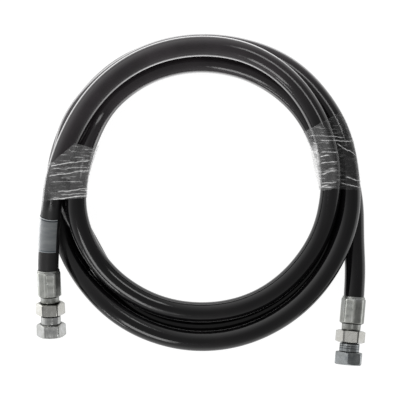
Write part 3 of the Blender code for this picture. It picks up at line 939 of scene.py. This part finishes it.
def add_camera():
    data = bpy.data.cameras.new("camera")
    data.sensor_width = SENSOR
    data.lens = SENSOR * (CAMERA_PLACE[2] - VIEW_HEIGHT) / VIEW_WIDTH
    data.clip_end = CLIP_END
    camera = bpy.data.objects.new("camera", data)
    camera.location = CAMERA_PLACE
    bpy.context.scene.collection.objects.link(camera)
    bpy.context.scene.camera = camera


def add_light(name, place, size, power, receivers):
    data = bpy.data.lights.new(name, "AREA")
    data.shape = "RECTANGLE"
    data.size, data.size_y = size
    data.energy = power
    light = bpy.data.objects.new(name, data)
    light.location = place
    light.rotation_euler = (-Vector(place)).to_track_quat("-Z", "Y").to_euler()
    bpy.context.scene.collection.objects.link(light)
    light.light_linking.receiver_collection = receivers


def add_floor():
    """Pale floor with a brighter ring behind and to the left of the coil, and a patch inside its top."""
    made = Look("floor_look")
    made.set(Roughness=0.9, Specular_IOR_Level=0.0, Emission_Color=(1.0, 1.0, 1.0, 1.0))
    place = made.coordinates()
    x, y, _ = made.parts(place)
    radius = made.length(x, y)
    behind = made.weighted(x, SKY_GLOW[0], y, SKY_GLOW[1])
    within = made.spread(radius, *RING_OUTSIDE, 1, 0)
    ring = made.maths("MINIMUM", made.spread(radius, *RING_INSIDE, 0, 1), within)
    ring = made.maths("MULTIPLY", ring, made.spread(behind, *RING_BEHIND, 0, 1))
    sides = made.spread(made.maths("ABSOLUTE", x), *PATCH_SIDES, 1, 0)
    patch = made.maths("MINIMUM", sides, made.spread(radius, *PATCH_OUTSIDE, 1, 0))
    patch = made.maths("MINIMUM", patch, made.spread(y, *PATCH_START, 0, 1))
    glow = made.spread(made.maths("MAXIMUM", ring, patch), 0, 1, *FLOOR_GLOW)
    made.feed(Base_Color=made.colours(made.noise(place, 3), *FLOOR_GREY), Emission_Strength=glow)
    bpy.ops.mesh.primitive_plane_add(size=FLOOR_SIZE, location=(0, 0, -FLOOR_DROP))
    floor = bpy.context.object
    floor.name = "floor"
    floor.data.materials.append(made.material)


def add_world():
    """Studio sky: dim overhead, pale low down, dimmer on the right and brightest behind on the left."""
    world = bpy.data.worlds.new("studio")
    world.use_nodes = True
    sky = Nodes(world.node_tree)
    x, y, z = sky.parts(sky.coordinates("Generated"))
    pale = sky.colours(z, *((height, (tone, tone, tone)) for height, tone in SKY))
    right = sky.maths("MULTIPLY", sky.maths("MAXIMUM", x, 0.0), SKY_DARK_SIDE)
    dimmed = sky.maths("MULTIPLY", pale, sky.maths("SUBTRACT", 1.0, right))
    behind = sky.maths("MAXIMUM", sky.weighted(x, SKY_GLOW[0], y, SKY_GLOW[1]), 0.0)
    glow = sky.maths("MULTIPLY", behind, behind)
    background = sky.tree.nodes["Background"]
    background.inputs["Color"].default_value = (1.0, 1.0, 1.0, 1.0)
    sky.link(sky.maths("ADD", dimmed, glow), background.inputs["Strength"])
    bpy.context.scene.world = world


def add_stage(lit_pieces):
    """Floor, sky and lamps; lit_pieces gives the pieces that each kind of lamp lights."""
    add_floor()
    add_world()
    lit = {}
    for kind, pieces in lit_pieces.items():
        lit[kind] = bpy.data.collections.new("lit_" + kind)
        for piece in pieces:
            lit[kind].objects.link(piece)
    for name, place, size, power, kind in LIGHTS:
        add_light(name, place, size, power, lit[kind])
    bpy.context.scene.view_settings.view_transform = "Standard"


# Build


def add_hose():
    """The cover, with the braid and the tube inside it, and the line that they follow."""
    mesh, line = hose_layer("hose", HOSE_RADIUS, COVER_INSIDE, HOSE_STEP, HOSE_SIDES)
    look = rubber_cover()
    cover = add_piece("hose_cover_fine", mesh, look, "root", "hose_cover", HOSE_SHARP_ANGLE)
    tube_look = plain_rubber("tube_look", *TUBE_RUBBER)
    layers = (
        ("hose_braid_fine", BRAID, braid_steel(), "hose_wire_braid", "braid_steel"),
        ("hose_inner_tube_fine", TUBE, tube_look, "hose_inner_tube", "tube_rubber"),
    )
    for name, (outside, inside), look, node, slot in layers:
        mesh, _ = hose_layer(name, outside, inside, LAYER_STEP, LAYER_SIDES)
        add_piece(name, mesh, look, "root", node, LAYER_SHARP_ANGLE)
    return cover, line


def add_label():
    look = label_look()
    return add_piece("label_fine", label_mesh(), look, "root", "label_wrap", LABEL_SHARP_ANGLE)


def add_film(side):
    film = FILMS[side]
    name = side + "_film"
    look = clear_film(name + "_look", film["haze"], film["clear_from"], film["lines"], film["glares"])
    mesh, node = film_band(name, film), side + "_tape_band"
    return add_piece(name + "_fine", mesh, look, "root", node, FILM_SHARP_ANGLE)


add_camera()
hose, hose_line = add_hose()
looks = {slot: plated_steel(*steel) for slot, steel in PLATING.items()}
looks["seal_rubber"] = plain_rubber("seal_look", *SEAL_RUBBER)
left_fitting = add_fitting("left", LEFT_END, LEFT_AXIS, LEFT_TURNS, looks)
# The right nut takes the darker copy of the plating: painted shade
looks["nut_zinc"] = plated_steel(*SHADED_NUT)
right_fitting = add_fitting("right", RIGHT_END, RIGHT_AXIS, RIGHT_TURNS, looks)
label = add_label()
films = [add_film(side) for side in FILMS]

add_stage({"soft": [hose, *films], "metal": left_fitting + right_fitting})
